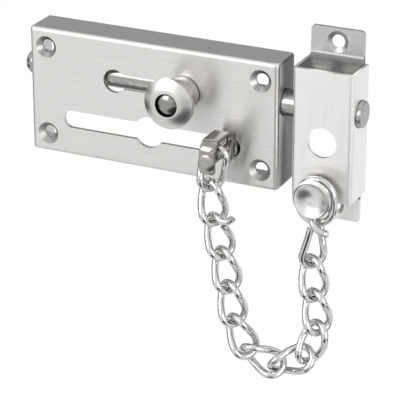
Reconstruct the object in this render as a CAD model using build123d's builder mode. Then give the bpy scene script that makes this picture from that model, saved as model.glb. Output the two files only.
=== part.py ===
# Door chain: cover plate with sliding bolt and chain anchor, keeper with stud, twisted chain.
# Frame: X along the plate to the right, Y into the door, Z up, mounting plane at y = 0.
import math
import os
from build123d import *

os.makedirs("parts", exist_ok=True)

# ---- driving dimensions, millimetres and degrees ----
PLATE_LENGTH = 103.0
PLATE_HEIGHT = 50.0
PLATE_DEPTH = 14.5
SHEET = 1.5
PLATE_EDGE_RADIUS = 1.6
PLATE_CORNER_RADIUS = 1.2
SCREW_IN_X = 7.0
SCREW_IN_Z = 7.5
SCREW_HOLE_RADIUS = 2.5
SCREW_SINK_RADIUS = 4.3
SINK_ANGLE = 90.0
DIMPLE_RADIUS = 5.6
DIMPLE_DEPTH = 1.0

BOLT_Z = 8.2
BOLT_RADIUS = 5.0
BOLT_PAST_PLATE = 4.8
BOLT_PAST_KEEPER = 1.8
KNOB_X = 13.5
KNOB_TRAVEL = 29.0
BOLT_SLOT_WIDTH = 5.7
BOLT_SLOT_END_RADIUS = 4.6

ANCHOR_X = 31.5
ANCHOR_Z = -10.2
ANCHOR_SLOT_WIDTH = 7.0
ANCHOR_SLOT_LEFT_X = -37.4
ANCHOR_SLOT_RIGHT_X = 32.7
ANCHOR_SLOT_END_RADIUS = 4.0
KEYHOLE_X = -1.4
KEYHOLE_RADIUS = 6.1

KEEPER_WIDTH = 23.8
KEEPER_PROUD = 0.15
KEEPER_SHEET = 1.3
KEEPER_EDGE_RADIUS = 1.8
KEEPER_HOLE_RADIUS = 5.75
KEEPER_HOLE_Z = -2.55
FOOT_WIDTH = 20.8
FOOT_SHEET = 1.2
FOOT_ROOF_IN = 1.0
FOOT_REACH = 13.4
FOOT_LIP = 9.0
FOOT_BEND_RADIUS = 3.0
FOOT_HOLE_IN = 5.3
FOOT_SINK_RADIUS = 4.1
FOOT_SINK_ANGLE = 120.0

STUD_UP = 3.5
STUD_NECK_RADIUS = 4.2
STUD_NECK_LENGTH = 7.35
STUD_CAP_RADIUS = 7.25
STUD_CAP_THICKNESS = 2.3
RING_OUT = 3.75
CLEVIS_REACH = 18.7
EYE_IN = 7.0
EYE_DROP = 0.6

WIRE_RADIUS = 1.4
BOW_RADIUS = 4.75
BOW_CENTRES = 7.4
OPEN_LINK_EXTRA = 3.45
OPEN_ARC = 130.0
OPEN_CUT = 2.6
LINK_TWIST = 40.0
LINK_GAP = 0.25
BEND_SLACK = 4.9
RING_HALF_WIDTH = 6.9
RING_REACH = 9.4
# lean of each link of the hanging chain away from straight down, keeper end first
DRAPE = [3.5, -5.0, -8.0, 19.0, 66.0, 116.0, 158.0, 171.0, 170.0, 167.0, 173.0, 188.0]

# ---- named clearances ----
FIT = 0.3
SLIDE_GAP = 0.5
BOLT_GAP = 0.8
PLATE_TO_KEEPER = 5.6
EYE_GAP = 0.45
CENTRE_FLAT = 0.6

# ---- derived values ----
FRONT_Y = -PLATE_DEPTH
SHEET_BACK_Y = -(PLATE_DEPTH - SHEET)
SCREW_X = PLATE_LENGTH / 2 - SCREW_IN_X
SCREW_Z = PLATE_HEIGHT / 2 - SCREW_IN_Z
KEEPER_X = PLATE_LENGTH / 2 + PLATE_TO_KEEPER + KEEPER_WIDTH / 2
KEEPER_DEPTH = PLATE_DEPTH + KEEPER_PROUD
BOLT_Y = SHEET_BACK_Y + BOLT_GAP + BOLT_RADIUS
BOLT_LEFT_X = -(PLATE_LENGTH / 2 + BOLT_PAST_PLATE)
BOLT_RIGHT_X = KEEPER_X + KEEPER_WIDTH / 2 + BOLT_PAST_KEEPER
FOOT_ROOF_Z = PLATE_HEIGHT / 2 - FOOT_ROOF_IN
FOOT_TIP_Z = FOOT_ROOF_Z + FOOT_REACH
FOOT_LIP_Z = FOOT_ROOF_Z - FOOT_LIP
FOOT_HOLE_Z = FOOT_TIP_Z - FOOT_HOLE_IN
STUD_Z = -(PLATE_HEIGHT / 2 - STUD_UP)
KNOB_LEFT_X = KNOB_X - KNOB_TRAVEL
KNOB_AXIS = Axis((KNOB_X, 0, BOLT_Z), (0, 1, 0))
ANCHOR_AXIS = Axis((ANCHOR_X, 0, ANCHOR_Z), (0, 1, 0))
STUD_AXIS = Axis((KEEPER_X, 0, STUD_Z), (0, 1, 0))
BOLT_FRONT_Y = BOLT_Y - BOLT_RADIUS
ROD_HOLE_RADIUS = BOLT_RADIUS + FIT
KEEPER_FRONT_Y = -KEEPER_DEPTH
KEEPER_BACK_OF_FRONT_Y = -(KEEPER_DEPTH - KEEPER_SHEET)
STUD_CAP_BACK_Y = KEEPER_FRONT_Y - STUD_NECK_LENGTH
STUD_FRONT_Y = STUD_CAP_BACK_Y - STUD_CAP_THICKNESS
CLEVIS_FRONT_Y = FRONT_Y - CLEVIS_REACH
CHAIN_START_Y = KEEPER_FRONT_Y - RING_OUT
CHAIN_END_Y = CLEVIS_FRONT_Y + EYE_IN


def front_plane(depth):
    """Plane seen from the front, its normal pointing out of the door at the given depth."""
    return Plane.XZ.offset(depth)


# ---- cover plate: folded sheet box, open at the back ----
with BuildPart() as cover_plate:
    with BuildSketch(front_plane(0)):
        Rectangle(PLATE_LENGTH, PLATE_HEIGHT)
    extrude(amount=PLATE_DEPTH)
    fillet(cover_plate.edges().filter_by(Axis.Y), PLATE_CORNER_RADIUS)
    fillet(cover_plate.faces().sort_by(Axis.Y)[0].edges(), PLATE_EDGE_RADIUS)
    with BuildSketch(front_plane(0)):
        RectangleRounded(PLATE_LENGTH - 2 * SHEET, PLATE_HEIGHT - 2 * SHEET, PLATE_CORNER_RADIUS / 2)
    extrude(amount=PLATE_DEPTH - SHEET, mode=Mode.SUBTRACT)
    # pressed dimples behind the four screw holes
    with BuildSketch(front_plane(PLATE_DEPTH - SHEET - DIMPLE_DEPTH)):
        with GridLocations(2 * SCREW_X, 2 * SCREW_Z, 2, 2):
            Circle(DIMPLE_RADIUS)
    extrude(amount=DIMPLE_DEPTH + SHEET / 2)
    with Locations(front_plane(PLATE_DEPTH)):
        with GridLocations(2 * SCREW_X, 2 * SCREW_Z, 2, 2):
            CounterSinkHole(
                SCREW_HOLE_RADIUS,
                SCREW_SINK_RADIUS,
                depth=SHEET + 2 * DIMPLE_DEPTH,
                counter_sink_angle=SINK_ANGLE,
            )
    # slot the knob travels in, with a round opening at each end
    slot_middle = (KNOB_X + KNOB_LEFT_X) / 2
    with BuildSketch(front_plane(PLATE_DEPTH - SHEET)):
        with Locations((slot_middle, BOLT_Z)):
            Rectangle(KNOB_TRAVEL, BOLT_SLOT_WIDTH)
        with Locations((KNOB_X, BOLT_Z), (KNOB_LEFT_X, BOLT_Z)):
            Circle(BOLT_SLOT_END_RADIUS)
    extrude(amount=SHEET, mode=Mode.SUBTRACT)
    # slot the chain anchor travels in, with the keyhole that lets its head out
    anchor_left = ANCHOR_SLOT_LEFT_X + ANCHOR_SLOT_WIDTH / 2
    anchor_middle = (anchor_left + ANCHOR_SLOT_RIGHT_X) / 2
    with BuildSketch(front_plane(PLATE_DEPTH - SHEET)):
        with Locations((anchor_middle, ANCHOR_Z)):
            Rectangle(ANCHOR_SLOT_RIGHT_X - anchor_left, ANCHOR_SLOT_WIDTH)
        with Locations((anchor_left, ANCHOR_Z)):
            Circle(ANCHOR_SLOT_WIDTH / 2)
        with Locations((ANCHOR_SLOT_RIGHT_X, ANCHOR_Z)):
            Circle(ANCHOR_SLOT_END_RADIUS)
        with Locations((KEYHOLE_X, ANCHOR_Z)):
            Circle(KEYHOLE_RADIUS)
    extrude(amount=SHEET, mode=Mode.SUBTRACT)
    # round holes in both end walls for the bolt
    with BuildSketch(Plane.YZ):
        with Locations((BOLT_Y, BOLT_Z)):
            Circle(ROD_HOLE_RADIUS)
    extrude(amount=PLATE_LENGTH, both=True, mode=Mode.SUBTRACT)
cover_plate.part.label = "cover_plate"
export_step(cover_plate.part, "parts/cover_plate.step")

# ---- bolt rod with a milled seat for the knob stem ----
SEAT_DEPTH = 0.8
STEM_RADIUS = BOLT_SLOT_WIDTH / 2 - 0.25
ROD_NOSE_RADIUS = 4.0
ROD_END_RADIUS = 0.5
with BuildPart() as bolt_rod:
    with BuildSketch(Plane.YZ.offset(BOLT_LEFT_X)):
        with Locations((BOLT_Y, BOLT_Z)):
            Circle(BOLT_RADIUS)
    extrude(amount=BOLT_RIGHT_X - BOLT_LEFT_X)
    fillet(bolt_rod.faces().sort_by(Axis.X)[0].edges(), ROD_NOSE_RADIUS)
    fillet(bolt_rod.faces().sort_by(Axis.X)[-1].edges(), ROD_END_RADIUS)
    with BuildSketch(front_plane(-BOLT_FRONT_Y - SEAT_DEPTH)):
        with Locations((KNOB_X, BOLT_Z)):
            Circle(STEM_RADIUS + FIT)
    extrude(amount=2 * SEAT_DEPTH, mode=Mode.SUBTRACT)
bolt_rod.part.label = "bolt_rod"
export_step(bolt_rod.part, "parts/bolt_rod.step")

# ---- knob: stem, collar, neck and a turned cap with a recess for the button ----
COLLAR_RADIUS = 6.4
COLLAR_LENGTH = 3.2
NECK_RADIUS = 4.7
NECK_LENGTH = 3.6
CAP_RADIUS = 9.75
CAP_FLARE_RADIUS = 8.9
CAP_FLARE = 3.6
CAP_EDGE = 0.8
CAP_RIM = 1.6
CAP_CONE = 2.0
CAP_FACE_RADIUS = 4.95
RECESS_RADIUS = 4.35
RECESS_DEPTH = 4.1
BORE_RADIUS = 2.2
BORE_DEPTH = 9.4
STEM_END_Y = BOLT_FRONT_Y + SEAT_DEPTH
COLLAR_BACK_Y = FRONT_Y - SLIDE_GAP
COLLAR_FRONT_Y = COLLAR_BACK_Y - COLLAR_LENGTH
NECK_END_Y = COLLAR_FRONT_Y - NECK_LENGTH
CAP_BACK_Y = NECK_END_Y - CAP_FLARE
CAP_RIM_Y = CAP_BACK_Y - CAP_EDGE - CAP_RIM
CAP_FRONT_Y = CAP_RIM_Y - CAP_CONE
RECESS_FLOOR_Y = CAP_FRONT_Y + RECESS_DEPTH
BORE_END_Y = CAP_FRONT_Y + BORE_DEPTH
with BuildPart() as knob:
    with BuildSketch(Plane((KNOB_X, 0, BOLT_Z))):
        with BuildLine():
            Polyline(
                (0, BORE_END_Y),
                (0, STEM_END_Y),
                (STEM_RADIUS, STEM_END_Y),
                (STEM_RADIUS, COLLAR_BACK_Y),
                (COLLAR_RADIUS, COLLAR_BACK_Y),
                (COLLAR_RADIUS, COLLAR_FRONT_Y),
                (NECK_RADIUS, COLLAR_FRONT_Y),
                (NECK_RADIUS, NECK_END_Y),
            )
            ThreePointArc(
                (NECK_RADIUS, NECK_END_Y),
                (NECK_RADIUS + 0.3 * (CAP_FLARE_RADIUS - NECK_RADIUS), NECK_END_Y - 0.65 * CAP_FLARE),
                (CAP_FLARE_RADIUS, CAP_BACK_Y),
            )
            Polyline(
                (CAP_FLARE_RADIUS, CAP_BACK_Y),
                (CAP_RADIUS, CAP_BACK_Y - CAP_EDGE),
                (CAP_RADIUS, CAP_RIM_Y),
            )
            ThreePointArc(
                (CAP_RADIUS, CAP_RIM_Y),
                (0.52 * CAP_RADIUS + 0.48 * CAP_FACE_RADIUS, CAP_RIM_Y - 0.62 * CAP_CONE),
                (CAP_FACE_RADIUS, CAP_FRONT_Y),
            )
            Polyline(
                (CAP_FACE_RADIUS, CAP_FRONT_Y),
                (RECESS_RADIUS, CAP_FRONT_Y),
                (RECESS_RADIUS, RECESS_FLOOR_Y),
                (BORE_RADIUS, RECESS_FLOOR_Y),
                (BORE_RADIUS, BORE_END_Y),
                (0, BORE_END_Y),
            )
        make_face()
    revolve(axis=KNOB_AXIS)
knob.part.label = "knob"
export_step(knob.part, "parts/knob.step")

# ---- push button in the middle of the knob ----
BUTTON_RADIUS = 3.75
BUTTON_PROUD = 0.25
BUTTON_DOME = 0.9
BUTTON_LENGTH = 1.8
BUTTON_STEM_LENGTH = 4.8
BUTTON_STEM_RADIUS = BORE_RADIUS - FIT
BUTTON_FRONT_Y = CAP_FRONT_Y - BUTTON_PROUD
BUTTON_EDGE_Y = BUTTON_FRONT_Y + BUTTON_DOME
BUTTON_BACK_Y = BUTTON_FRONT_Y + BUTTON_LENGTH
BUTTON_STEM_END_Y = BUTTON_BACK_Y + BUTTON_STEM_LENGTH
with BuildPart() as button:
    with BuildSketch(Plane((KNOB_X, 0, BOLT_Z))):
        with BuildLine():
            Polyline(
                (0, BUTTON_FRONT_Y),
                (0, BUTTON_STEM_END_Y),
                (BUTTON_STEM_RADIUS, BUTTON_STEM_END_Y),
                (BUTTON_STEM_RADIUS, BUTTON_BACK_Y),
                (BUTTON_RADIUS, BUTTON_BACK_Y),
                (BUTTON_RADIUS, BUTTON_EDGE_Y),
            )
            ThreePointArc(
                (BUTTON_RADIUS, BUTTON_EDGE_Y),
                (BUTTON_RADIUS * 0.6, BUTTON_FRONT_Y + 0.28),
                (CENTRE_FLAT, BUTTON_FRONT_Y),
            )
            Line((CENTRE_FLAT, BUTTON_FRONT_Y), (0, BUTTON_FRONT_Y))
        make_face()
    revolve(axis=KNOB_AXIS)
button.part.label = "button"
export_step(button.part, "parts/button.step")

# ---- keeper cover: folded front with two side walls ----
with BuildPart() as keeper_cover:
    with BuildSketch(Plane.XY):
        with Locations((KEEPER_X, KEEPER_FRONT_Y / 2)):
            Rectangle(KEEPER_WIDTH, KEEPER_DEPTH)
    extrude(amount=PLATE_HEIGHT / 2, both=True)
    front_face = keeper_cover.faces().sort_by(Axis.Y)[0]
    fillet(front_face.edges().filter_by(Axis.Z), KEEPER_EDGE_RADIUS)
    with BuildSketch(Plane.XY):
        with Locations((KEEPER_X, KEEPER_BACK_OF_FRONT_Y / 2)):
            Rectangle(KEEPER_WIDTH - 2 * KEEPER_SHEET, KEEPER_DEPTH - KEEPER_SHEET)
    extrude(amount=PLATE_HEIGHT / 2, both=True, mode=Mode.SUBTRACT)
    with BuildSketch(front_plane(KEEPER_DEPTH - 2 * KEEPER_SHEET)):
        with Locations((KEEPER_X, KEEPER_HOLE_Z)):
            Circle(KEEPER_HOLE_RADIUS)
    extrude(amount=3 * KEEPER_SHEET, mode=Mode.SUBTRACT)
    with BuildSketch(Plane.YZ.offset(KEEPER_X)):
        with Locations((BOLT_Y, BOLT_Z)):
            Circle(ROD_HOLE_RADIUS)
    extrude(amount=KEEPER_WIDTH, both=True, mode=Mode.SUBTRACT)
keeper_cover.part.label = "keeper_cover"
export_step(keeper_cover.part, "parts/keeper_cover.step")

# ---- keeper feet: bent strips above and below, each with a screw hole ----
FOOT_TIP_RADIUS = 1.5
for name, side in (("keeper_foot_top", 1), ("keeper_foot_bottom", -1)):
    foot_front_y = KEEPER_BACK_OF_FRONT_Y
    with BuildPart() as foot:
        with BuildSketch(Plane.YZ.offset(KEEPER_X)) as foot_profile:
            with BuildLine():
                Polyline(
                    (0, side * FOOT_TIP_Z),
                    (-FOOT_SHEET, side * FOOT_TIP_Z),
                    (-FOOT_SHEET, side * FOOT_ROOF_Z),
                    (foot_front_y, side * FOOT_ROOF_Z),
                    (foot_front_y, side * FOOT_LIP_Z),
                    (foot_front_y + FOOT_SHEET, side * FOOT_LIP_Z),
                    (foot_front_y + FOOT_SHEET, side * (FOOT_ROOF_Z - FOOT_SHEET)),
                    (0, side * (FOOT_ROOF_Z - FOOT_SHEET)),
                    close=True,
                )
            make_face()
            outer = [
                v for v in foot_profile.vertices()
                if abs(v.Y + FOOT_SHEET) < 0.01 and abs(v.Z - side * FOOT_ROOF_Z) < 0.01
            ]
            inner = [
                v for v in foot_profile.vertices()
                if abs(v.Y) < 0.01 and abs(v.Z - side * (FOOT_ROOF_Z - FOOT_SHEET)) < 0.01
            ]
            fillet(outer, FOOT_BEND_RADIUS)
            fillet(inner, FOOT_BEND_RADIUS + FOOT_SHEET)
        extrude(amount=FOOT_WIDTH / 2, both=True)
        tip = foot.faces().sort_by(Axis.Z)[-1 if side > 0 else 0]
        fillet(tip.edges().filter_by(Axis.Y), FOOT_TIP_RADIUS)
        with Locations(Plane((KEEPER_X, -FOOT_SHEET, side * FOOT_HOLE_Z), z_dir=(0, -1, 0))):
            CounterSinkHole(
                SCREW_HOLE_RADIUS,
                FOOT_SINK_RADIUS,
                depth=2 * FOOT_SHEET,
                counter_sink_angle=FOOT_SINK_ANGLE,
            )
    foot.part.label = name
    export_step(foot.part, "parts/" + name + ".step")

# ---- stud the end ring hangs on ----
STUD_RIM = 0.9
STUD_DISH = 0.6
with BuildPart() as chain_stud:
    with BuildSketch(Plane((KEEPER_X, 0, STUD_Z))):
        with BuildLine():
            Polyline(
                (0, STUD_FRONT_Y + STUD_DISH),
                (0, KEEPER_FRONT_Y),
                (STUD_NECK_RADIUS, KEEPER_FRONT_Y),
                (STUD_NECK_RADIUS, STUD_CAP_BACK_Y),
                (STUD_CAP_RADIUS - 0.4, STUD_CAP_BACK_Y),
                (STUD_CAP_RADIUS, STUD_CAP_BACK_Y - 0.4),
                (STUD_CAP_RADIUS, STUD_FRONT_Y + 0.5),
                (STUD_CAP_RADIUS - 0.5, STUD_FRONT_Y),
                (STUD_CAP_RADIUS - STUD_RIM, STUD_FRONT_Y),
            )
            ThreePointArc(
                (STUD_CAP_RADIUS - STUD_RIM, STUD_FRONT_Y),
                (STUD_CAP_RADIUS * 0.55, STUD_FRONT_Y + STUD_DISH * 0.65),
                (CENTRE_FLAT, STUD_FRONT_Y + STUD_DISH),
            )
            Line((CENTRE_FLAT, STUD_FRONT_Y + STUD_DISH), (0, STUD_FRONT_Y + STUD_DISH))
        make_face()
    revolve(axis=STUD_AXIS)
chain_stud.part.label = "chain_stud"
export_step(chain_stud.part, "parts/chain_stud.step")

# ---- anchor pin: head behind the plate, neck in the slot, shank through the clevis ----
PIN_HEAD_RADIUS = 5.4
PIN_HEAD_THICKNESS = 2.0
PIN_HEAD_BACK_Y = SHEET_BACK_Y + FIT + PIN_HEAD_THICKNESS
PIN_NECK_RADIUS = ANCHOR_SLOT_WIDTH / 2 - FIT
PIN_COLLAR_RADIUS = 4.4
PIN_COLLAR_FRONT_Y = FRONT_Y - SLIDE_GAP - 0.8
SHANK_RADIUS = 2.1
RIVET_RADIUS = 3.3
RIVET_FRONT_Y = CLEVIS_FRONT_Y - 0.9
with BuildPart() as anchor_pin:
    with BuildSketch(Plane((ANCHOR_X, 0, ANCHOR_Z))):
        with BuildLine():
            Polyline(
                (0, RIVET_FRONT_Y),
                (0, PIN_HEAD_BACK_Y),
                (PIN_HEAD_RADIUS - 0.6, PIN_HEAD_BACK_Y),
                (PIN_HEAD_RADIUS, PIN_HEAD_BACK_Y - 0.6),
                (PIN_HEAD_RADIUS, SHEET_BACK_Y + FIT),
                (PIN_NECK_RADIUS, SHEET_BACK_Y + FIT),
                (PIN_NECK_RADIUS, FRONT_Y - SLIDE_GAP),
                (PIN_COLLAR_RADIUS, FRONT_Y - SLIDE_GAP),
                (PIN_COLLAR_RADIUS, PIN_COLLAR_FRONT_Y),
                (SHANK_RADIUS, PIN_COLLAR_FRONT_Y),
                (SHANK_RADIUS, CLEVIS_FRONT_Y),
                (RIVET_RADIUS, CLEVIS_FRONT_Y),
                (RIVET_RADIUS, CLEVIS_FRONT_Y - 0.3),
            )
            ThreePointArc(
                (RIVET_RADIUS, CLEVIS_FRONT_Y - 0.3),
                (RIVET_RADIUS * 0.6, RIVET_FRONT_Y + 0.18),
                (CENTRE_FLAT, RIVET_FRONT_Y),
            )
            Line((CENTRE_FLAT, RIVET_FRONT_Y), (0, RIVET_FRONT_Y))
        make_face()
    revolve(axis=ANCHOR_AXIS)
anchor_pin.part.label = "anchor_pin"
export_step(anchor_pin.part, "parts/anchor_pin.step")

# ---- anchor clevis: strap bent over the last link ----
CLEVIS_WIDTH = 6.2
CLEVIS_SHEET = 1.5
CLEVIS_BELOW_SHANK = 1.3
CLEVIS_BEND_RADIUS = 5.0
CLEVIS_INSIDE_TOP_Z = ANCHOR_Z + BOW_RADIUS + WIRE_RADIUS + EYE_GAP
CLEVIS_BOTTOM_Z = ANCHOR_Z - SHANK_RADIUS - CLEVIS_BELOW_SHANK
CLEVIS_HOLE_RADIUS = SHANK_RADIUS + 0.05
CLEVIS_TOP_Z = CLEVIS_INSIDE_TOP_Z + CLEVIS_SHEET
clevis_rear_y = PIN_COLLAR_FRONT_Y
with BuildPart() as anchor_clevis:
    with BuildSketch(Plane.YZ.offset(ANCHOR_X)) as clevis_profile:
        with BuildLine():
            Polyline(
                (clevis_rear_y, CLEVIS_BOTTOM_Z),
                (clevis_rear_y, CLEVIS_TOP_Z),
                (CLEVIS_FRONT_Y, CLEVIS_TOP_Z),
                (CLEVIS_FRONT_Y, CLEVIS_BOTTOM_Z),
                (CLEVIS_FRONT_Y + CLEVIS_SHEET, CLEVIS_BOTTOM_Z),
                (CLEVIS_FRONT_Y + CLEVIS_SHEET, CLEVIS_INSIDE_TOP_Z),
                (clevis_rear_y - CLEVIS_SHEET, CLEVIS_INSIDE_TOP_Z),
                (clevis_rear_y - CLEVIS_SHEET, CLEVIS_BOTTOM_Z),
                close=True,
            )
        make_face()
        outer = [v for v in clevis_profile.vertices() if abs(v.Z - CLEVIS_TOP_Z) < 0.01]
        inner = [v for v in clevis_profile.vertices() if abs(v.Z - CLEVIS_INSIDE_TOP_Z) < 0.01]
        fillet(outer, CLEVIS_BEND_RADIUS + CLEVIS_SHEET)
        fillet(inner, CLEVIS_BEND_RADIUS)
    extrude(amount=CLEVIS_WIDTH / 2, both=True)
    leg_edges = [e for e in anchor_clevis.edges().filter_by(Axis.Y) if abs(e.center().Z - CLEVIS_BOTTOM_Z) < 0.01]
    fillet(leg_edges, CLEVIS_WIDTH / 2 - 0.2)
    with BuildSketch(front_plane(-clevis_rear_y - 1)):
        with Locations((ANCHOR_X, ANCHOR_Z)):
            Circle(CLEVIS_HOLE_RADIUS)
    extrude(amount=clevis_rear_y - CLEVIS_FRONT_Y + 2, mode=Mode.SUBTRACT)
anchor_clevis.part.label = "anchor_clevis"
export_step(anchor_clevis.part, "parts/anchor_clevis.step")

# ---- end ring on the stud: flat oval of round wire ----
ring_low_z = STUD_Z - RING_REACH - WIRE_RADIUS - LINK_GAP / 2
ring_high_z = STUD_Z + STUD_NECK_RADIUS + WIRE_RADIUS + FIT
ring_side = ring_high_z - ring_low_z - 2 * RING_HALF_WIDTH
with BuildPart() as end_ring:
    for bow_z, turn in ((ring_high_z - RING_HALF_WIDTH, -180), (ring_low_z + RING_HALF_WIDTH, 180)):
        with BuildSketch(Plane((KEEPER_X, CHAIN_START_Y, bow_z))):
            with Locations((RING_HALF_WIDTH, 0)):
                Circle(WIRE_RADIUS)
        revolve(axis=Axis((KEEPER_X, CHAIN_START_Y, bow_z), (0, 1, 0)), revolution_arc=turn)
    with BuildSketch(Plane((KEEPER_X, CHAIN_START_Y, ring_low_z + RING_HALF_WIDTH))):
        with Locations((RING_HALF_WIDTH, 0), (-RING_HALF_WIDTH, 0)):
            Circle(WIRE_RADIUS)
    extrude(amount=ring_side)
end_ring.part.label = "end_ring"
export_step(end_ring.part, "parts/end_ring.step")

# ---- the hanging chain ----
# The chain hangs in the upright plane through the ring and the last eye.
CHAIN_RUN = math.hypot(ANCHOR_X - KEEPER_X, CHAIN_END_Y - CHAIN_START_Y)
ALONG = Vector((ANCHOR_X - KEEPER_X) / CHAIN_RUN, (CHAIN_END_Y - CHAIN_START_Y) / CHAIN_RUN, 0)
UP = Vector(0, 0, 1)
ACROSS = ALONG.cross(UP)
TIGHT = 2 * BOW_RADIUS - 2 * WIRE_RADIUS - LINK_GAP
LINK_LENGTHS = [BOW_CENTRES + OPEN_LINK_EXTRA] + [BOW_CENTRES] * (len(DRAPE) - 1)


def hang(leans):
    """Bow centres of every link, in the chain plane, for a list of leans."""
    run = 0.0
    drop = -(RING_REACH)
    lean = math.radians(leans[0])
    run += TIGHT / 2 * math.sin(lean)
    drop -= TIGHT / 2 * math.cos(lean)
    centres = []
    for number, length in enumerate(LINK_LENGTHS):
        lean = math.radians(leans[number])
        near = (run, drop)
        run += length * math.sin(lean)
        drop -= length * math.cos(lean)
        centres.append((near, (run, drop)))
        if number + 1 < len(leans):
            bend = math.radians(leans[number + 1]) - lean
            reach = TIGHT - BEND_SLACK * (1 - math.cos(bend))
            middle = lean + bend / 2
            run += reach * math.sin(middle)
            drop -= reach * math.cos(middle)
    return centres


def settle(leans):
    """Nudge all leans evenly until the last eye hangs on the anchor shank."""
    goal = (CHAIN_RUN, ANCHOR_Z - EYE_DROP - STUD_Z)
    step = 0.01
    for _ in range(12):
        end = hang(leans)[-1][1]
        miss = (goal[0] - end[0], goal[1] - end[1])
        slopes = []
        for number in range(len(leans)):
            moved = list(leans)
            moved[number] += step
            tip = hang(moved)[-1][1]
            slopes.append(((tip[0] - end[0]) / step, (tip[1] - end[1]) / step))
        a = sum(s[0] * s[0] for s in slopes)
        b = sum(s[0] * s[1] for s in slopes)
        c = sum(s[1] * s[1] for s in slopes)
        spread = a * c - b * b
        first = (c * miss[0] - b * miss[1]) / spread
        second = (a * miss[1] - b * miss[0]) / spread
        leans = [v + s[0] * first + s[1] * second for v, s in zip(leans, slopes)]
    return leans


LEANS = settle(DRAPE)
EYES = hang(LEANS)

# the first link crosses the flat ring square on, the last lies flat across the shank
plane_turn = math.degrees(math.atan2(-ALONG.Y, -ALONG.X))
NEAR_TURNS = [-90.0 + plane_turn] + [LINK_TWIST] * (len(DRAPE) - 1)
FAR_TURNS = [-LINK_TWIST] * (len(DRAPE) - 1) + [-plane_turn * 0.7]

# links that were pulled open to join the chain: the bow, where its tip ends, where it points
OPENED = {
    1: ("near", Vector(6.5, -3.9, -0.3), Vector(1.0, 0.0, 0.25)),
    10: ("far", Vector(7.2, -2.2, 5.6), Vector(0.35, 0.0, 1.0)),
}

for number, (near, far) in enumerate(EYES):
    lean = math.radians(LEANS[number])
    down = ALONG * math.sin(lean) - UP * math.cos(lean)
    sideways = ALONG * math.cos(lean) + UP * math.sin(lean)
    start = Vector(KEEPER_X, CHAIN_START_Y, STUD_Z)
    near_centre = start + ALONG * near[0] + UP * near[1]
    far_centre = start + ALONG * far[0] + UP * far[1]
    near_turn = math.radians(NEAR_TURNS[number])
    far_turn = math.radians(FAR_TURNS[number])
    near_side = sideways * math.cos(near_turn) + ACROSS * math.sin(near_turn)
    far_side = sideways * math.cos(far_turn) + ACROSS * math.sin(far_turn)
    middle_turn = (near_turn + far_turn) / 2
    middle_side = sideways * math.cos(middle_turn) + ACROSS * math.sin(middle_turn)
    near_axis = Axis(near_centre, near_side.cross(down))
    far_axis = Axis(far_centre, far_side.cross(down))
    opened = OPENED.get(number + 1)
    with BuildPart() as link:
        for bow, centre, side, outward, axis, turn in (
            ("near", near_centre, near_side, -down, near_axis, 1),
            ("far", far_centre, far_side, down, far_axis, -1),
        ):
            open_here = opened is not None and opened[0] == bow
            with BuildSketch(Plane(centre - side * BOW_RADIUS, z_dir=down)):
                Circle(WIRE_RADIUS)
            revolve(axis=axis, revolution_arc=turn * (OPEN_ARC if open_here else 180))
            if open_here:
                # the bent tip that was pulled aside to open the link
                reach = math.radians(OPEN_ARC)
                tip_root = centre + (outward * math.sin(reach) - side * math.cos(reach)) * BOW_RADIUS
                heading = side * math.sin(reach) + outward * math.cos(reach)
                with BuildLine() as tip_wire:
                    Spline(tip_root, centre + opened[1], tangents=[heading, opened[2]])
                with BuildSketch(Plane(tip_root, z_dir=heading)):
                    Circle(WIRE_RADIUS)
                sweep(path=tip_wire.wire())
        for hand in (1, -1):
            side_start = near_centre + near_side * BOW_RADIUS * hand
            side_end = far_centre + far_side * BOW_RADIUS * hand
            if opened is not None and hand == 1:
                # this side stops short of the opened bow
                if opened[0] == "near":
                    side_start += down * OPEN_CUT
                else:
                    side_end -= down * OPEN_CUT
            side_middle = (near_centre + far_centre) * 0.5 + middle_side * BOW_RADIUS * hand
            with BuildLine() as side_wire:
                Spline(side_start, side_middle, side_end, tangents=[down, down])
            with BuildSketch(Plane(side_start, z_dir=down)):
                Circle(WIRE_RADIUS)
            sweep(path=side_wire.wire())
    link_name = f"chain_link_{number + 1:02d}"
    link.part.label = link_name
    export_step(link.part, "parts/" + link_name + ".step")
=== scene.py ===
"""Looks for the steel door chain: finishes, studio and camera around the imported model."""

import math

import bmesh
import bpy
from mathutils import Matrix, Vector


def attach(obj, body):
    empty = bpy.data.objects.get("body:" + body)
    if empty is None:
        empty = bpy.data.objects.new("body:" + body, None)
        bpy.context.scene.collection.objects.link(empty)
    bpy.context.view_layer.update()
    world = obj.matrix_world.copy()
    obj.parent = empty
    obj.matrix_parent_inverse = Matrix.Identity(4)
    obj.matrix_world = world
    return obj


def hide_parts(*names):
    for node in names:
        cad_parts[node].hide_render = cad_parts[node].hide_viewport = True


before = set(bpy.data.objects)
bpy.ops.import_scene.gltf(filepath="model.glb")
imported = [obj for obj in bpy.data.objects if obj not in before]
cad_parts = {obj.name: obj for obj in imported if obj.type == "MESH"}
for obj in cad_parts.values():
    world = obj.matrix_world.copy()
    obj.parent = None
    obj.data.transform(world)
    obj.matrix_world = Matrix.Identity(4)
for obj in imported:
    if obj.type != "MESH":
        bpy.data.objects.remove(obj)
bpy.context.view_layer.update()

# ---- camera: degrees and metres, lens and sensor in millimetres ----
CAMERA_AZIMUTH = 25.24
CAMERA_ELEVATION = 23.179
CAMERA_DISTANCE = 0.8495645
CAMERA_LENS = 198.469
CAMERA_SENSOR = 36.0
CAMERA_REACH = 20.0
CAMERA_TARGET = Vector((0.013301, 0.0, -0.040768))

# ---- places that several pieces share, in metres ----
KEEPER_X = 0.069
ANCHOR_X = 0.0315
KNOB_CENTRE = (0.0135, 0.0, 0.0082)
STUD_CENTRE = (KEEPER_X, 0.0, -0.0215)
ANCHOR_CENTRE = (ANCHOR_X, 0.0, -0.0102)


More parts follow.
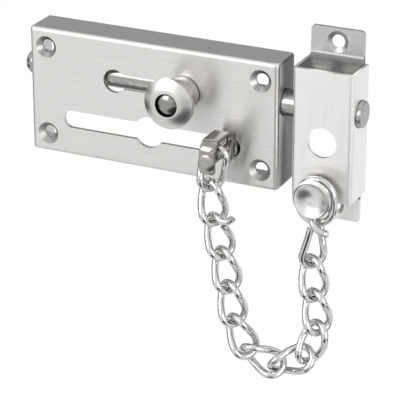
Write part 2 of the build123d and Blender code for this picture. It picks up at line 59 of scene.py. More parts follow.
def place_camera():
    """A long lens looking down at the fitting from its right."""
    azimuth = math.radians(CAMERA_AZIMUTH)
    elevation = math.radians(CAMERA_ELEVATION)
    back = Vector((
        math.sin(azimuth) * math.cos(elevation),
        -math.cos(azimuth) * math.cos(elevation),
        math.sin(elevation),
    ))
    right = Vector((math.cos(azimuth), math.sin(azimuth), 0.0))
    up = back.cross(right)
    lens = bpy.data.cameras.new("photo_camera")
    lens.lens = CAMERA_LENS
    lens.sensor_width = CAMERA_SENSOR
    lens.clip_end = CAMERA_REACH
    camera = bpy.data.objects.new("photo_camera", lens)
    turn = Matrix((right, up, back)).transposed().to_4x4()
    camera.matrix_world = Matrix.Translation(CAMERA_TARGET + back * CAMERA_DISTANCE) @ turn
    bpy.context.scene.collection.objects.link(camera)
    bpy.context.scene.camera = camera


# ---- helpers for materials ----
FLATTEN = (1.0, 0.0, 1.0)


def new_material(name):
    material = bpy.data.materials.new(name)
    material.use_nodes = True
    return material


def shader_of(material):
    return material.node_tree.nodes["Principled BSDF"]


def grey(shade):
    return (shade, shade, shade, 1.0)


def feed(tree, socket, source):
    """Link a socket to another one, or set it to a plain value."""
    if isinstance(source, bpy.types.NodeSocket):
        tree.links.new(source, socket)
    else:
        socket.default_value = source


def object_place(tree):
    """Where a point is on its object, in metres."""
    return tree.nodes.new("ShaderNodeTexCoord").outputs["Object"]


def vector_step(tree, operation, first, second=None):
    """One sum on a vector."""
    step = tree.nodes.new("ShaderNodeVectorMath")
    step.operation = operation
    feed(tree, step.inputs[0], first)
    if second is not None:
        feed(tree, step.inputs[1], second)
    is_number = operation in ("LENGTH", "DISTANCE", "DOT_PRODUCT")
    return step.outputs["Value" if is_number else "Vector"]


def number_step(tree, operation, first, second, clamp=False):
    """One sum on two numbers."""
    step = tree.nodes.new("ShaderNodeMath")
    step.operation = operation
    step.use_clamp = clamp
    feed(tree, step.inputs[0], first)
    feed(tree, step.inputs[1], second)
    return step.outputs["Value"]


def remap(tree, value, low, high, to_low=0.0, to_high=1.0, way="LINEAR"):
    """Carry a number from one range to another, held at both ends."""
    ranges = tree.nodes.new("ShaderNodeMapRange")
    ranges.interpolation_type = way
    feed(tree, ranges.inputs["Value"], value)
    feed(tree, ranges.inputs["From Min"], low)
    feed(tree, ranges.inputs["From Max"], high)
    feed(tree, ranges.inputs["To Min"], to_low)
    feed(tree, ranges.inputs["To Max"], to_high)
    return ranges.outputs["Result"]


def mix_colour(tree, share, first, second):
    """The first colour where the share is 0, the second where it is 1."""
    mix = tree.nodes.new("ShaderNodeMix")
    mix.data_type = "RGBA"
    feed(tree, mix.inputs["Factor"], share)
    feed(tree, mix.inputs["A"], first)
    feed(tree, mix.inputs["B"], second)
    return mix.outputs["Result"]


def from_axis(tree, centre):
    """The way from a line along Y through the centre to a point."""
    return vector_step(tree, "MULTIPLY", vector_step(tree, "SUBTRACT", object_place(tree), centre), FLATTEN)


def new_group(name, given, made):
    """A shader group with its inputs (name, kind, value) and its outputs (name, kind)."""
    group = bpy.data.node_groups.new(name, "ShaderNodeTree")
    for title, kind, value in given:
        socket = group.interface.new_socket(name=title, in_out="INPUT", socket_type="NodeSocket" + kind)
        if value is not None:
            socket.default_value = value
    for title, kind in made:
        group.interface.new_socket(name=title, in_out="OUTPUT", socket_type="NodeSocket" + kind)
    return group, group.nodes.new("NodeGroupInput").outputs, group.nodes.new("NodeGroupOutput").inputs


# ---- grain of the steel ----
LINE_DETAIL = 3.0
LINE_ROUGHNESS = 0.65
CLOUD_SCALE = 0.02
CLOUD_DETAIL = 2.0
CLOUD_SHARE = 0.35
GRAIN_LOW = 0.32
GRAIN_HIGH = 0.68
RELIEF_DEPTH = 0.00002


def make_grain_group():
    """Fine drawn lines with a slow cloudy change under them."""
    group, given, made = new_group(
        "drawn grain",
        (
            ("Vector", "Vector", None), ("Light", "Color", grey(0.8)), ("Dark", "Color", grey(0.5)),
            ("Smooth", "Float", 0.3), ("Rough", "Float", 0.45),
        ),
        (("Colour", "Color"), ("Roughness", "Float"), ("Height", "Float")),
    )
    lines = group.nodes.new("ShaderNodeTexNoise")
    lines.inputs["Scale"].default_value = 1.0
    lines.inputs["Detail"].default_value = LINE_DETAIL
    lines.inputs["Roughness"].default_value = LINE_ROUGHNESS
    group.links.new(given["Vector"], lines.inputs["Vector"])
    clouds = group.nodes.new("ShaderNodeTexNoise")
    clouds.inputs["Scale"].default_value = CLOUD_SCALE
    clouds.inputs["Detail"].default_value = CLOUD_DETAIL
    group.links.new(given["Vector"], clouds.inputs["Vector"])
    blend = group.nodes.new("ShaderNodeMix")
    blend.data_type = "FLOAT"
    blend.inputs["Factor"].default_value = CLOUD_SHARE
    group.links.new(lines.outputs["Fac"], blend.inputs["A"])
    group.links.new(clouds.outputs["Fac"], blend.inputs["B"])
    spread = remap(group, blend.outputs["Result"], GRAIN_LOW, GRAIN_HIGH)
    group.links.new(mix_colour(group, spread, given["Dark"], given["Light"]), made["Colour"])
    group.links.new(remap(group, spread, 0.0, 1.0, given["Rough"], given["Smooth"]), made["Roughness"])
    group.links.new(lines.outputs["Fac"], made["Height"])
    return group


def make_well_group():
    """White inside round wells that sit in mirrored places, black outside."""
    group, given, made = new_group(
        "round wells",
        (
            ("Vector", "Vector", None), ("Middle", "Vector", (0.0, 0.0, 0.0)),
            ("Spread", "Vector", (0.0, 0.0, 0.0)), ("Radius", "Float", 0.004), ("Edge", "Float", 0.0002),
        ),
        (("Mask", "Float"),),
    )
    way = vector_step(group, "SUBTRACT", given["Vector"], given["Middle"])
    way = vector_step(group, "SUBTRACT", vector_step(group, "ABSOLUTE", way), given["Spread"])
    away = vector_step(group, "LENGTH", vector_step(group, "MULTIPLY", way, FLATTEN))
    outer = number_step(group, "ADD", given["Radius"], given["Edge"])
    group.links.new(remap(group, away, given["Radius"], outer, 1.0, 0.0), made["Mask"])
    return group


GRAIN = make_grain_group()
WELLS = make_well_group()


def finish_steel(material, vector, light, dark, smooth, rough, bump, anisotropy, axis):
    """Join grain, relief and a shine stretched round one axis to the material's shader."""
    tree = material.node_tree
    shader = shader_of(material)
    shader.inputs["Metallic"].default_value = 1.0
    grain = tree.nodes.new("ShaderNodeGroup")
    grain.node_tree = GRAIN
    feed(tree, grain.inputs["Vector"], vector)
    feed(tree, grain.inputs["Light"], (*light, 1.0))
    feed(tree, grain.inputs["Dark"], (*dark, 1.0))
    feed(tree, grain.inputs["Smooth"], smooth)
    feed(tree, grain.inputs["Rough"], rough)
    tree.links.new(grain.outputs["Colour"], shader.inputs["Base Color"])
    tree.links.new(grain.outputs["Roughness"], shader.inputs["Roughness"])
    if bump:
        relief = tree.nodes.new("ShaderNodeBump")
        relief.inputs["Strength"].default_value = bump
        relief.inputs["Distance"].default_value = RELIEF_DEPTH
        tree.links.new(grain.outputs["Height"], relief.inputs["Height"])
        tree.links.new(relief.outputs["Normal"], shader.inputs["Normal"])
    if anisotropy:
        shader.inputs["Anisotropic"].default_value = anisotropy
        tangent = tree.nodes.new("ShaderNodeTangent")
        tangent.direction_type = "RADIAL"
        tangent.axis = axis
        tree.links.new(tangent.outputs["Tangent"], shader.inputs["Tangent"])


def drawn_steel(name, stretch, light, dark, smooth, rough, bump=0.0, anisotropy=0.0, axis="X"):
    """Steel with straight grain. Stretch gives lines per metre along X, Y and Z."""
    material = new_material(name)
    tree = material.node_tree
    vector = vector_step(tree, "MULTIPLY", object_place(tree), stretch)
    finish_steel(material, vector, light, dark, smooth, rough, bump, anisotropy, axis)
    return material


def turned_steel(name, centre, light, dark, smooth, rough, bump=0.0, anisotropy=0.0):
    """Steel with rings of tool marks round a line along Y through the centre."""
    material = new_material(name)
    tree = material.node_tree
    parts = tree.nodes.new("ShaderNodeSeparateXYZ")
    tree.links.new(object_place(tree), parts.inputs["Vector"])
    rings = tree.nodes.new("ShaderNodeCombineXYZ")
    tree.links.new(vector_step(tree, "LENGTH", from_axis(tree, centre)), rings.inputs["X"])
    tree.links.new(parts.outputs["Y"], rings.inputs["Y"])
    vector = vector_step(tree, "MULTIPLY", rings.outputs["Vector"], (FINE_LINES, FINE_LINES, 1.0))
    finish_steel(material, vector, light, dark, smooth, rough, bump, anisotropy, "Y")
    return material


def dome_face(material, centre, ball):
    """Let a turned face shine as part of a ball; a radius below zero makes a dish."""
    tree = material.node_tree
    flat = from_axis(tree, centre)
    square = vector_step(tree, "DOT_PRODUCT", flat, flat)
    dome = tree.nodes.new("ShaderNodeBump")
    dome.inputs["Strength"].default_value = 1.0
    dome.inputs["Distance"].default_value = 1.0
    tree.links.new(number_step(tree, "MULTIPLY", square, -0.5 / ball), dome.inputs["Height"])
    relief = shader_of(material).inputs["Normal"].links[0].from_node
    tree.links.new(dome.outputs["Normal"], relief.inputs["Normal"])


def paint_shade(material, mask, tone):
    """Paint shade over the colour of a material where the mask is white, as a darker tone of its steel."""
    colour = shader_of(material).inputs["Base Color"]
    dark = (*(tone * part for part in STEEL_TINT), 1.0)
    tree = material.node_tree
    tree.links.new(mix_colour(tree, mask, colour.links[0].from_socket, dark), colour)


def well_mask(tree, middle, spread, radius, edge):
    wells = tree.nodes.new("ShaderNodeGroup")
    wells.node_tree = WELLS
    feed(tree, wells.inputs["Vector"], object_place(tree))
    feed(tree, wells.inputs["Middle"], middle)
    feed(tree, wells.inputs["Spread"], spread)
    feed(tree, wells.inputs["Radius"], radius)
    feed(tree, wells.inputs["Edge"], edge)
    return wells.outputs["Mask"]


def paint_shade_in_wells(material, middle, spread, radius, tone):
    """Paint shade inside round wells that lie mirrored about a middle."""
    paint_shade(material, well_mask(material.node_tree, middle, spread, radius, WELL_EDGE), tone)


def paint_shade_in_ring(material, centre, inner, outer, tone):
    """Paint shade between two radii."""
    tree = material.node_tree
    discs = [well_mask(tree, centre, (0.0, 0.0, 0.0), radius, RING_EDGE) for radius in (outer, inner)]
    paint_shade(material, number_step(tree, "SUBTRACT", *discs, clamp=True), tone)


def paint_shade_by_place(material, tone, *spans):
    """Paint shade by place. Each span has an axis, where it starts and where it is full."""
    tree = material.node_tree
    parts = tree.nodes.new("ShaderNodeSeparateXYZ")
    tree.links.new(object_place(tree), parts.inputs["Vector"])
    mask = 1.0
    for axis, start, full in spans:
        span = remap(tree, parts.outputs[axis], start, full, way="SMOOTHSTEP")
        mask = number_step(tree, "MULTIPLY", mask, span)
    paint_shade(material, mask, tone)


# ---- steels: light and dark colour, smooth and rough, relief, stretch of the shine ----
FINE_LINES = 2400.0
LONG_LINES = 45.0
DRAWN_ALONG = (LONG_LINES, FINE_LINES, FINE_LINES)
DRAWN_UPRIGHT = (FINE_LINES, FINE_LINES, LONG_LINES)
STEEL_TINT = (1.0, 0.985, 0.965)
PALE_LIGHT = (0.98, 0.97, 0.955)
PALE_DARK = (0.90, 0.89, 0.875)

PLATE_STEEL = drawn_steel(
    "plate steel drawn lengthwise", DRAWN_ALONG,
    (0.74, 0.73, 0.716), (0.62, 0.611, 0.598), 0.30, 0.38, 0.25, 0.75, "X",
)
KEEPER_STEEL = drawn_steel(
    "keeper steel drawn upright", DRAWN_UPRIGHT, PALE_LIGHT, PALE_DARK, 0.32, 0.40, 0.15, 0.6, "Z",
)
# the upper foot and the built roofs and bends take a darker copy of the lower foot's pale steel: painted
# shade
SHADED_FOOT_STEEL = drawn_steel(
    "foot steel drawn crosswise", DRAWN_ALONG,
    (0.62, 0.615, 0.607), (0.53, 0.526, 0.518), 0.28, 0.36, 0.15,
)
LOW_FOOT_STEEL = drawn_steel(
    "low foot steel drawn crosswise", DRAWN_ALONG, PALE_LIGHT, PALE_DARK, 0.28, 0.36, 0.15,
)
BUTTON_STEEL = turned_steel(
    "turned button steel", KNOB_CENTRE,
    (0.38, 0.372, 0.36), (0.29, 0.283, 0.275), 0.14, 0.20, 0.1, 0.5,
)
KNOB_STEEL = turned_steel(
    "turned knob steel", KNOB_CENTRE,
    (0.78, 0.765, 0.75), (0.62, 0.61, 0.59), 0.20, 0.28, 0.2, 0.7,
)
STUD_STEEL = turned_steel(
    "turned stud steel", STUD_CENTRE,
    (0.84, 0.83, 0.82), (0.70, 0.69, 0.68), 0.24, 0.30, 0.15, 0.6,
)
PIN_STEEL = turned_steel(
    "turned pin steel", ANCHOR_CENTRE,
    (0.50, 0.486, 0.462), (0.38, 0.37, 0.35), 0.18, 0.26, 0.15, 0.5,
)
ROD_STEEL = drawn_steel(
    "bolt rod steel", (1800.0, 40.0, 40.0),
    (0.48, 0.472, 0.464), (0.36, 0.353, 0.346), 0.14, 0.20,
)
BRIGHT_STEEL = drawn_steel(
    "polished wire steel", (220.0, 220.0, 220.0),
    (0.72, 0.715, 0.706), (0.60, 0.596, 0.588), 0.07, 0.12,
)
CLEVIS_STEEL = drawn_steel(
    "pressed strap steel", (300.0, 300.0, 300.0),
    (0.42, 0.406, 0.376), (0.28, 0.271, 0.250), 0.08, 0.14,
)

# ---- painted shade in the countersinks, on the end wall, under the rim and round the button ----
WELL_EDGE = 0.0002
RING_EDGE = 0.00008
PLATE_MIDDLE = (0.0, 0.0, 0.0)
PLATE_SCREWS = (0.0445, 0.0, 0.0175)
PLATE_SINK_RADIUS = 0.0042
FEET_MIDDLE = (KEEPER_X, 0.0, 0.0)
FEET_SCREWS = (0.0, 0.0, 0.0321)
FOOT_SINK_RADIUS = 0.0040
BUTTON_GAP = (0.00362, 0.00448)
STUD_DISH = -0.014

# painted shade inside the screw countersinks of the plate and both feet
paint_shade_in_wells(PLATE_STEEL, PLATE_MIDDLE, PLATE_SCREWS, PLATE_SINK_RADIUS, 0.42)
paint_shade_in_wells(SHADED_FOOT_STEEL, FEET_MIDDLE, FEET_SCREWS, FOOT_SINK_RADIUS, 0.50)
paint_shade_in_wells(LOW_FOOT_STEEL, FEET_MIDDLE, FEET_SCREWS, FOOT_SINK_RADIUS, 0.50)
# painted shade on the plate's end wall, in the narrow gap beside the keeper
paint_shade_by_place(PLATE_STEEL, 0.14, ("X", 0.0506, 0.0513), ("Y", -0.0142, -0.0085))
# painted shade on the foot roofs under the cover's rim; this steel is darker everywhere below the upper
# screw tab
paint_shade_by_place(SHADED_FOOT_STEEL, 0.27, ("Z", 0.0284, 0.0270))
# painted shade in the gap between the button and the knob
paint_shade_in_ring(KNOB_STEEL, KNOB_CENTRE, *BUTTON_GAP, 0.06)
dome_face(STUD_STEEL, STUD_CENTRE, STUD_DISH)

FINISHES = {
    "cover_plate": PLATE_STEEL,
    "keeper_cover": KEEPER_STEEL,
    "keeper_foot_top": SHADED_FOOT_STEEL,
    "keeper_foot_bottom": LOW_FOOT_STEEL,
    "chain_stud": STUD_STEEL,
    "bolt_rod": ROD_STEEL,
    "knob": KNOB_STEEL,
    "button": BUTTON_STEEL,
    "anchor_pin": PIN_STEEL,
    "anchor_clevis": CLEVIS_STEEL,
}


def dress_nodes():
    """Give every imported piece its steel; what has none of its own is bright wire."""
    for name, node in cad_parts.items():
        node.data.materials.clear()
        node.data.materials.append(FINISHES.get(name, BRIGHT_STEEL))


# ---- pieces built here: metres and degrees ----
SHARP_ANGLE = 32.0
EDGE_CUTS = 2
ARC_STEPS = 14


def add_piece(name, shape, finish, body):
    """Turn a built shape into an object that rides on a body."""
    bmesh.ops.recalc_face_normals(shape, faces=shape.faces)
    for face in shape.faces:
        face.smooth = True
    mesh = bpy.data.meshes.new(name)
    shape.to_mesh(mesh)
    shape.free()
    mesh.set_sharp_from_angle(angle=math.radians(SHARP_ANGLE))
    mesh.materials.append(finish)
    piece = bpy.data.objects.new(name, mesh)
    bpy.context.scene.collection.objects.link(piece)
    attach(piece, body)
    return piece


# ---- strap over the last link ----
CLEVIS_HALF_WIDTH = 0.0031
CLEVIS_SHEET = 0.0015
CLEVIS_REAR_Y = -0.0158
CLEVIS_FRONT_Y = -0.0332
CLEVIS_TOP_Z = -0.0021
CLEVIS_LOW_Z = -0.0145
CLEVIS_BEND = 0.0048
CLEVIS_CORNER = 0.0012
CLEVIS_EDGE = 0.00035
END_STEPS = 8


def clevis_stations():
    """Middle line of the strap with its outward direction and half width."""
    inset = CLEVIS_SHEET / 2
    radius = CLEVIS_BEND - inset
    rear = CLEVIS_REAR_Y - inset
    front = CLEVIS_FRONT_Y + inset
    top = CLEVIS_TOP_Z - inset
    tip = []
    for step in range(END_STEPS + 1):
        angle = math.radians(90 * step / END_STEPS)
        level = CLEVIS_LOW_Z + CLEVIS_CORNER * (1 - math.cos(angle))
        tip.append((level, CLEVIS_HALF_WIDTH - CLEVIS_CORNER * (1 - math.sin(angle))))
    stations = [(rear, z, 1.0, 0.0, width) for z, width in tip]
    for centre, start in ((rear - radius, 0), (front + radius, 90)):
        for step in range(ARC_STEPS + 1):
            angle = math.radians(start + 90 * step / ARC_STEPS)
            out = (math.cos(angle), math.sin(angle))
            y = centre + radius * out[0]
            z = top - radius + radius * out[1]
            stations.append((y, z, *out, CLEVIS_HALF_WIDTH))
    stations += [(front, z, -1.0, 0.0, width) for z, width in reversed(tip)]
    return stations


def build_clevis():
    """The strap bent over the last link, with a round bend at each shoulder."""
    shape = bmesh.new()
    rows = []
    for y, z, out_y, out_z, width in clevis_stations():
        row = []
        for hand, level in ((-1, 0.5), (1, 0.5), (1, -0.5), (-1, -0.5)):
            row.append(shape.verts.new((
                ANCHOR_X + hand * width,
                y + out_y * CLEVIS_SHEET * level,
                z + out_z * CLEVIS_SHEET * level,
            )))
        rows.append(row)
    for low, high in zip(rows, rows[1:]):
        for side in range(4):
            follow = (side + 1) % 4
            shape.faces.new((low[side], low[follow], high[follow], high[side]))
    shape.faces.new(rows[0])
    shape.faces.new(rows[-1])
    long_edges = [
        shape.edges.get((low[side], high[side])) for low, high in zip(rows, rows[1:]) for side in range(4)
    ]
    bmesh.ops.bevel(
        shape, geom=long_edges, affect="EDGES", offset=CLEVIS_EDGE, segments=EDGE_CUTS,
        profile=0.5, material=-1,
    )
    piece = add_piece("clevis_strap", shape, CLEVIS_STEEL, "anchor")
    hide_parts("anchor_clevis")


# ---- feet: roofs, screw tabs and the bends between them ----
FOOT_HALF_WIDTH = 0.0104
FOOT_FACE_Y = -0.0012
FOOT_ROOF_Z = 0.02495
FOOT_PACKED_ROOF_Z = 0.024
FOOT_ROOF_FRONT_Y = -0.0132
FOOT_ROOF_EDGE = 0.0003
FOOT_BEND = 0.0031
FOOT_BEND_REACH = 0.0062
FOOT_SUNK = 0.0004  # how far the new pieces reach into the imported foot


def build_foot_bend(name, side):
    """The round inside of the bend between a foot's roof and its screw tab."""
    shape = bmesh.new()
    section = [
        (FOOT_FACE_Y + FOOT_SUNK, FOOT_ROOF_Z - FOOT_SUNK),
        (FOOT_FACE_Y + FOOT_SUNK, FOOT_ROOF_Z + FOOT_BEND),
    ]
    for step in range(ARC_STEPS + 1):
        angle = math.radians(90 * step / ARC_STEPS)
        section.append((
            FOOT_FACE_Y - FOOT_BEND_REACH * (1 - math.cos(angle)),
            FOOT_ROOF_Z + FOOT_BEND * (1 - math.sin(angle)),
        ))
    section.append((FOOT_FACE_Y - FOOT_BEND_REACH, FOOT_ROOF_Z - FOOT_SUNK))
    ends = []
    for hand in (-1, 1):
        x = KEEPER_X + hand * FOOT_HALF_WIDTH
        ends.append([shape.verts.new((x, y, side * z)) for y, z in section])
    for index in range(len(section)):
        follow = (index + 1) % len(section)
        shape.faces.new((ends[0][index], ends[0][follow], ends[1][follow], ends[1][index]))
    shape.faces.new(ends[0])
    shape.faces.new(ends[1])
    add_piece(name, shape, SHADED_FOOT_STEEL, "fixed")


def build_foot_roof(name, side):
    """The flat of a foot that closes the end of the cover, just under its rim."""
    shape = bmesh.new()
    bmesh.ops.create_cube(shape, size=1.0)
    low = FOOT_PACKED_ROOF_Z - FOOT_SUNK
    bmesh.ops.scale(
        shape, verts=shape.verts,
        vec=(2 * FOOT_HALF_WIDTH, FOOT_FACE_Y - FOOT_ROOF_FRONT_Y, FOOT_ROOF_Z - low),
    )
    bmesh.ops.translate(
        shape, verts=shape.verts,
        vec=(KEEPER_X, (FOOT_FACE_Y + FOOT_ROOF_FRONT_Y) / 2, side * (FOOT_ROOF_Z + low) / 2),
    )
    bmesh.ops.bevel(
        shape, geom=shape.edges[:], affect="EDGES", offset=FOOT_ROOF_EDGE, segments=EDGE_CUTS,
        profile=0.5, material=-1,
    )
    add_piece(name, shape, SHADED_FOOT_STEEL, "fixed")


# ---- chain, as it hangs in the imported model: metres and degrees ----
WIRE_RADIUS = 0.0014
BOW_RADIUS = 0.00475
BOW_CENTRES = 0.0074
FIRST_LINK_EXTRA = 0.00345
LINK_TWIST = 40.0  # of each bow out of the plane of the hanging chain
LAST_TURN = 0.7  # share of its turn that the last bow takes to meet the anchor
LINK_GAP = 0.00025
BEND_SLACK = 0.0049  # how much nearer two bows come as their links bend
RING_REACH = 0.0094
WAIST = 0.0004  # how much narrower a link is halfway
TWIST_REACH = 0.78  # share of its half length over which a link twists
OPEN_ARC = 130  # what is left of an opened bow
TAIL_ARC = 14  # how far the cut side runs on round it
DRAPE = (3.5, -5.0, -8.0, 19.0, 66.0, 116.0, 158.0, 171.0, 170.0, 167.0, 173.0, 188.0)
CHAIN_START = Vector((KEEPER_X, -0.0184, -0.0215))
CHAIN_END = Vector((ANCHOR_X, -0.0262, -0.0108))
CHAIN_X = CHAIN_END.x - CHAIN_START.x
CHAIN_Y = CHAIN_END.y - CHAIN_START.y
CHAIN_RUN = math.hypot(CHAIN_X, CHAIN_Y)
ALONG = Vector((CHAIN_X / CHAIN_RUN, CHAIN_Y / CHAIN_RUN, 0.0))
UP = Vector((0.0, 0.0, 1.0))
ACROSS = ALONG.cross(UP)
TIGHT = 2 * BOW_RADIUS - 2 * WIRE_RADIUS - LINK_GAP
LINK_LENGTHS = [BOW_CENTRES + FIRST_LINK_EXTRA] + [BOW_CENTRES] * (len(DRAPE) - 1)
PLANE_TURN = math.degrees(math.atan2(-ALONG.y, -ALONG.x))
NEAR_TURNS = [-90.0 + PLANE_TURN] + [LINK_TWIST] * (len(DRAPE) - 1)
FAR_TURNS = [-LINK_TWIST] * (len(DRAPE) - 1) + [-PLANE_TURN * LAST_TURN]

BOW_STEPS = 28
SIDE_STEPS = 12
TIP_STEPS = 12
TAIL_STEPS = 2
WIRE_STEPS = 6
WELD = 0.00001  # points nearer than this become one
SETTLE_ROUNDS = 12
SETTLE_STEP = 0.01

# links that were pulled open to join the chain: the bow, where its tip ends, where it points
OPENED = {
    1: ("near", Vector((0.0065, -0.0039, -0.0003)), Vector((1.0, 0.0, 0.25))),
    10: ("far", Vector((0.0072, -0.0022, 0.0056)), Vector((0.35, 0.0, 1.0))),
}


def hang(leans):
    """Bow centres of every link, as run and drop from the stud, for a list of leans."""
    lean = math.radians(leans[0])
    run = TIGHT / 2 * math.sin(lean)
    drop = -RING_REACH - TIGHT / 2 * math.cos(lean)
    centres = []
    for number, length in enumerate(LINK_LENGTHS):
        lean = math.radians(leans[number])
        near = (run, drop)
        run += length * math.sin(lean)
        drop -= length * math.cos(lean)
        centres.append((near, (run, drop)))
        if number + 1 < len(leans):
            bend = math.radians(leans[number + 1]) - lean
            reach = TIGHT - BEND_SLACK * (1 - math.cos(bend))
            run += reach * math.sin(lean + bend / 2)
            drop -= reach * math.cos(lean + bend / 2)
    return centres


def settle(leans):
    """Nudge all leans evenly until the last eye hangs on the anchor shank."""
    goal = (CHAIN_RUN, CHAIN_END.z - CHAIN_START.z)
    for _ in range(SETTLE_ROUNDS):
        end = hang(leans)[-1][1]
        miss = (goal[0] - end[0], goal[1] - end[1])
        slopes = []
        for number in range(len(leans)):
            moved = list(leans)
            moved[number] += SETTLE_STEP
            tip = hang(moved)[-1][1]
            slopes.append(((tip[0] - end[0]) / SETTLE_STEP, (tip[1] - end[1]) / SETTLE_STEP))
        a = sum(s[0] * s[0] for s in slopes)
        b = sum(s[0] * s[1] for s in slopes)
        c = sum(s[1] * s[1] for s in slopes)
        spread = a * c - b * b
        first = (c * miss[0] - b * miss[1]) / spread
        second = (a * miss[1] - b * miss[0]) / spread
        leans = [v + s[0] * first + s[1] * second for v, s in zip(leans, slopes)]
    return leans


def flat_round(half, opened):
    """Points round the untwisted link as side and length, the near bow last."""
    points = []
    for step in range(BOW_STEPS + 1):
        angle = math.pi * step / BOW_STEPS
        points.append((BOW_RADIUS * math.cos(angle), half + BOW_RADIUS * math.sin(angle)))
    for step in range(1, SIDE_STEPS):
        points.append((-BOW_RADIUS, half - 2 * half * step / SIDE_STEPS))
    near_arc = math.radians(OPEN_ARC if opened else 180)
    for step in range(BOW_STEPS + 1):
        angle = math.pi + near_arc * step / BOW_STEPS
        points.append((BOW_RADIUS * math.cos(angle), -half + BOW_RADIUS * math.sin(angle)))
    side = [(BOW_RADIUS, -half + 2 * half * step / SIDE_STEPS) for step in range(1, SIDE_STEPS)]
    if not opened:
        return points + side
    tail = []
    for step in range(TAIL_STEPS + 1):
        angle = math.radians(TAIL_ARC * (TAIL_STEPS - step) / TAIL_STEPS)
        tail.append((BOW_RADIUS * math.cos(angle), -half - BOW_RADIUS * math.sin(angle)))
    return tail + side + points


def link_route(number, near, far, lean):
    """Middle line of one twisted link where it hangs, and whether it closes on itself."""
    down = ALONG * math.sin(lean) - UP * math.cos(lean)
    sideways = ALONG * math.cos(lean) + UP * math.sin(lean)
    near_centre = CHAIN_START + ALONG * near[0] + UP * near[1]
    far_centre = CHAIN_START + ALONG * far[0] + UP * far[1]
    middle = (near_centre + far_centre) / 2
    half = (far_centre - near_centre).length / 2
    opened = OPENED.get(number + 1)
    flip = -1 if opened and opened[0] == "far" else 1
    turn_middle = (NEAR_TURNS[number] + FAR_TURNS[number]) / 2
    turn_reach = (FAR_TURNS[number] - NEAR_TURNS[number]) / 2
    route = []
    for side, length in flat_round(half, opened):
        length *= flip
        share = max(-1.0, min(1.0, length / (half + BOW_RADIUS) / TWIST_REACH))
        ease = math.sin(math.pi / 2 * share)
        side *= 1 - WAIST / BOW_RADIUS * math.cos(math.pi / 2 * share) ** 2
        turn = math.radians(turn_middle + turn_reach * ease)
        outward = sideways * math.cos(turn) + ACROSS * math.sin(turn)
        route.append(middle + down * length + outward * side)
    if opened:
        centre = far_centre if opened[0] == "far" else near_centre
        root = route[-1]
        tip = centre + opened[1]
        reach = (tip - root).length
        leaving = (route[-1] - route[-2]).normalized() * reach
        ending = opened[2].normalized() * reach
        for step in range(1, TIP_STEPS + 1):
            t = step / TIP_STEPS
            route.append(
                root * (2 * t**3 - 3 * t**2 + 1) + leaving * (t**3 - 2 * t**2 + t)
                + tip * (3 * t**2 - 2 * t**3) + ending * (t**3 - t**2)
            )
    return route, opened is None


def build_chain():
    """The twelve twisted links, each a round wire along its own middle line."""
    leans = settle(list(DRAPE))
    for number, (near, far) in enumerate(hang(leans)):
        route, closed = link_route(number, near, far, math.radians(leans[number]))
        name = f"twisted_link_{number + 1:02d}"
        wire = bpy.data.curves.new(name, "CURVE")
        wire.dimensions = "3D"
        wire.bevel_depth = WIRE_RADIUS
        wire.bevel_resolution = WIRE_STEPS
        wire.use_fill_caps = not closed
        line = wire.splines.new("POLY")
        line.points.add(len(route) - 1)
        for point, place in zip(line.points, route):
            point.co = (*place, 1.0)
        line.use_cyclic_u = closed
        drawn = bpy.data.objects.new(name + "_wire", wire)
        bpy.context.scene.collection.objects.link(drawn)
        solid = drawn.evaluated_get(bpy.context.evaluated_depsgraph_get())
        shape = bmesh.new()
        shape.from_mesh(bpy.data.meshes.new_from_object(solid))
        bpy.data.objects.remove(drawn)
        bmesh.ops.remove_doubles(shape, verts=shape.verts, dist=WELD)
        piece = add_piece(name, shape, BRIGHT_STEEL, f"link_{number + 1:02d}")
        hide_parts(f"chain_link_{number + 1:02d}")


# ---- floor: where each card lies, how wide it is and how pale ----
FLOOR_DEPTH = -0.45
FLOOR_HALF = 4.0
FLOOR_SHADE = 0.8
FLOOR_ROUGHNESS = 0.9
CARD_CORE = 0.6
FLOOR_CARDS = (
    ((0.45, -0.90), 0.42, 0.02),
    ((0.12, -0.50), 0.36, 0.04),
    ((-1.05, -0.10), 0.50, 0.03),
    ((0.75, 0.10), 0.35, 0.10),
    ((0.60, 1.10), 0.95, 1.0),
)


def floor_paint():
    """White to the camera and a lit pale surface otherwise, with cards that only shiny steel picks up."""
    material = new_material("pale floor")
    tree = material.node_tree
    shader = shader_of(material)
    shader.inputs["Roughness"].default_value = FLOOR_ROUGHNESS
    path = tree.nodes.new("ShaderNodeLightPath")
    place = object_place(tree)
    shade = grey(FLOOR_SHADE)
    for spot, radius, tone in FLOOR_CARDS:
        away = vector_step(tree, "DISTANCE", place, (*spot, FLOOR_DEPTH))
        card = remap(tree, away, radius, radius * CARD_CORE, way="SMOOTHSTEP")
        shade = mix_colour(tree, card, shade, grey(tone))
    shade = mix_colour(tree, path.outputs["Is Glossy Ray"], grey(FLOOR_SHADE), shade)
    tree.links.new(shade, shader.inputs["Base Color"])
    glow = tree.nodes.new("ShaderNodeEmission")
    glow.inputs["Strength"].default_value = 1.0
    seen = tree.nodes.new("ShaderNodeMixShader")
    tree.links.new(path.outputs["Is Camera Ray"], seen.inputs["Fac"])
    tree.links.new(shader.outputs["BSDF"], seen.inputs[1])
    tree.links.new(glow.outputs["Emission"], seen.inputs[2])
    tree.links.new(seen.outputs["Shader"], tree.nodes["Material Output"].inputs["Surface"])
    return material


def lay_floor():
    mesh = bpy.data.meshes.new("pale_floor")
    shape = bmesh.new()
    bmesh.ops.create_grid(shape, x_segments=2, y_segments=2, size=FLOOR_HALF)
    bmesh.ops.translate(shape, verts=shape.verts, vec=(0.0, 0.0, FLOOR_DEPTH))
    shape.to_mesh(mesh)
    shape.free()
    floor = bpy.data.objects.new("pale_floor", mesh)
    bpy.context.scene.collection.objects.link(floor)
    mesh.materials.append(floor_paint())


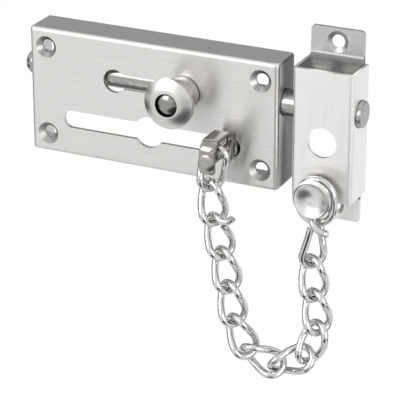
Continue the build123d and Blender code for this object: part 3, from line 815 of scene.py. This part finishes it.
# ---- room: the direction of each patch, where it starts and is full, and its shade ----
ROOM_SHADE = 0.95
ROOM_PATCHES = (
    ((-0.39, 0.83, 0.39), 0.60, 0.95, 0.30),
    ((0.39, -0.83, -0.39), 0.88, 0.96, 0.02),
    ((-0.92, -0.08, -0.39), 0.76, 0.93, 0.05),
    ((0.92, 0.08, -0.39), 0.88, 0.97, 0.25),
    ((0.39, 0.83, -0.39), 0.70, 0.95, 0.45),
    ((-0.39, -0.83, -0.39), 0.86, 0.98, 1.0),
)
# lamps: name, where it hangs, what it faces, width, height, watts
LAMPS = (
    ("lamp_front_left", (-0.9, -1.6, 0.9), (0.0, 0.0, -0.02), 1.2, 1.2, 10.5),
    ("lamp_right", (1.6, -0.9, 0.4), (0.03, 0.0, -0.02), 0.7, 1.2, 8.0),
    ("lamp_top", (0.1, 0.1, 1.5), (0.0, 0.0, 0.0), 1.0, 0.7, 0.8),
)


def hang_lamp(name, place, aim, width, height, power):
    lamp = bpy.data.lights.new(name, "AREA")
    lamp.shape = "RECTANGLE"
    lamp.size = width
    lamp.size_y = height
    lamp.energy = power
    holder = bpy.data.objects.new(name, lamp)
    look = (Vector(aim) - Vector(place)).to_track_quat("-Z", "Y")
    holder.matrix_world = Matrix.Translation(place) @ look.to_matrix().to_4x4()
    bpy.context.scene.collection.objects.link(holder)


def light_studio():
    """A pale room with a few soft darker patches, and three broad lamps."""
    world = bpy.data.worlds.new("studio")
    bpy.context.scene.world = world
    world.use_nodes = True
    tree = world.node_tree
    direction = tree.nodes.new("ShaderNodeTexCoord").outputs["Generated"]
    shade = grey(ROOM_SHADE)
    for facing, start, full, tone in ROOM_PATCHES:
        closeness = vector_step(tree, "DOT_PRODUCT", direction, facing)
        patch = remap(tree, closeness, start, full, way="SMOOTHSTEP")
        shade = mix_colour(tree, patch, shade, grey(tone))
    path = tree.nodes.new("ShaderNodeLightPath")
    shade = mix_colour(tree, path.outputs["Is Camera Ray"], shade, grey(1.0))
    sky = tree.nodes["Background"]
    tree.links.new(shade, sky.inputs["Color"])
    sky.inputs["Strength"].default_value = 1.0
    for lamp in LAMPS:
        hang_lamp(*lamp)


place_camera()
dress_nodes()
build_clevis()
build_chain()
build_foot_bend("foot_bend_top", 1)
build_foot_bend("foot_bend_bottom", -1)
build_foot_roof("foot_roof_top", 1)
build_foot_roof("foot_roof_bottom", -1)
lay_floor()
light_studio()
bpy.context.scene.view_settings.view_transform = "Standard"
